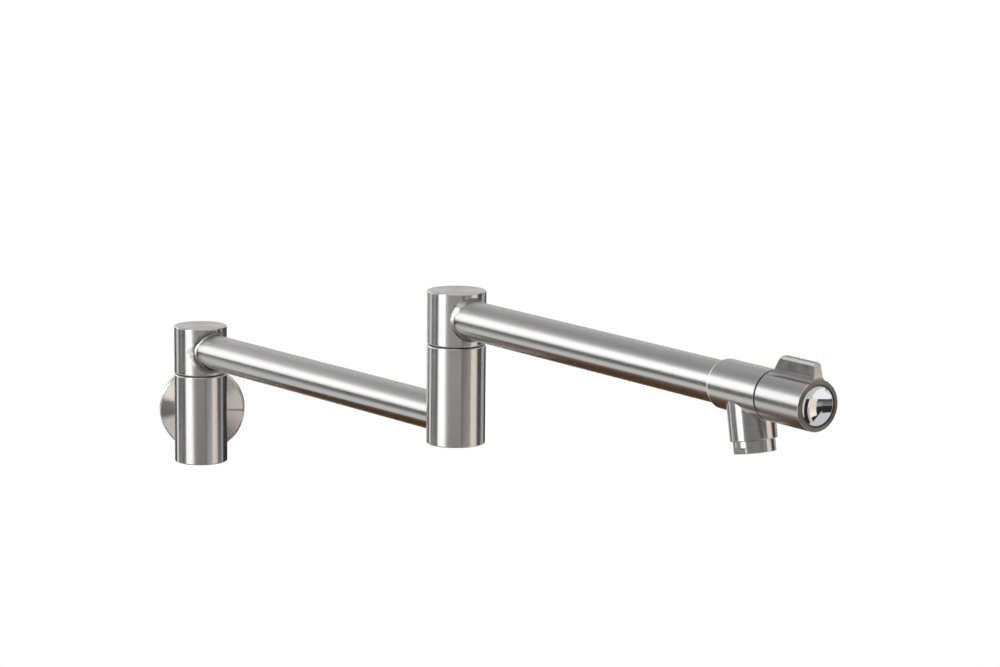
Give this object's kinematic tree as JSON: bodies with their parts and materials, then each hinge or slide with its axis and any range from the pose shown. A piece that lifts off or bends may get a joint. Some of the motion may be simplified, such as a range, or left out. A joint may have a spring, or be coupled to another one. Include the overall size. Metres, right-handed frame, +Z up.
{
  "type": "wall mounted pot filler",
  "caption": "Double jointed wall mounted pot filler: a round plate and hub, swinging tube arms, an end valve with a finned knob and a short spout.",
  "frame": {"origin": "centre of the inlet thread on the wall plane", "axes": "+Z up, -Y out of the wall, +X to the right for someone who faces the wall"},
  "size_m": [0.3962, 0.6133, 0.172],
  "materials": {
    "brushed_steel": "satin brushed stainless steel, fine grain round the turned parts and along the tubes",
    "polished_steel": "mirror polished",
    "dark_steel": "plain turned steel",
    "brass": "machined",
    "rubber": "matt black",
    "nylon": "moulded, matt",
    "ceramic": "lapped"
  },
  "bodies": {
    "wall_mount": {"wall_rosette": "brushed_steel", "rosette_seal": "rubber", "inlet_nipple": "brass", "inlet_o_rings": "rubber", "inlet_strainer": "dark_steel", "inlet_neck": "brushed_steel", "neck_grub_screw": "dark_steel", "wall_hub_body": "brushed_steel", "wall_hub_plug": "brushed_steel", "wall_plug_o_ring": "rubber", "wall_hub_bush": "nylon", "wall_grub_screw": "dark_steel"},
    "lower_arm": {"lower_head_shell": "brushed_steel", "lower_pivot_spigot": "brass", "lower_pivot_o_rings": "rubber", "lower_glide_ring": "rubber", "lower_arm_tube": "brushed_steel", "elbow_hub_body": "brushed_steel", "elbow_hub_plug": "brushed_steel", "elbow_plug_o_ring": "rubber", "elbow_hub_bush": "nylon", "elbow_grub_screw": "dark_steel"},
    "upper_arm": {"upper_head_shell": "brushed_steel", "upper_pivot_spigot": "brass", "upper_pivot_o_rings": "rubber", "upper_glide_ring": "rubber", "upper_arm_tube": "brushed_steel", "valve_body": "brushed_steel", "cartridge_seal": "rubber", "cartridge_body": "brass", "fixed_ceramic_disc": "ceramic", "cartridge_nut": "brass", "knob_glide_ring": "rubber", "outlet_spout": "brushed_steel", "aerator_washer": "rubber", "aerator_housing": "brushed_steel", "aerator_insert": "nylon"},
    "knob": {"lever_knob": "brushed_steel", "knob_end_cap": "polished_steel", "cartridge_spindle": "dark_steel", "spindle_o_ring": "rubber", "moving_ceramic_disc": "ceramic", "knob_screw": "dark_steel"}
  },
  "joints": [
    {"name": "wall_swivel", "type": "hinge", "parent": "wall_mount", "child": "lower_arm", "pos_m": [0, -0.037, 0.0325], "axis": [0, 0, 1], "range_deg": [-124.2, 55.8]},
    {"name": "elbow_swivel", "type": "hinge", "parent": "lower_arm", "child": "upper_arm", "pos_m": [0.17144, -0.28926, 0.098], "axis": [0, 0, 1], "continuous": true},
    {"name": "knob_turn", "type": "hinge", "parent": "upper_arm", "child": "knob", "pos_m": [0.33368, -0.55821, 0.1158], "axis": [0.5165, -0.8563, 0], "range_deg": [0, 90]}
  ]
}
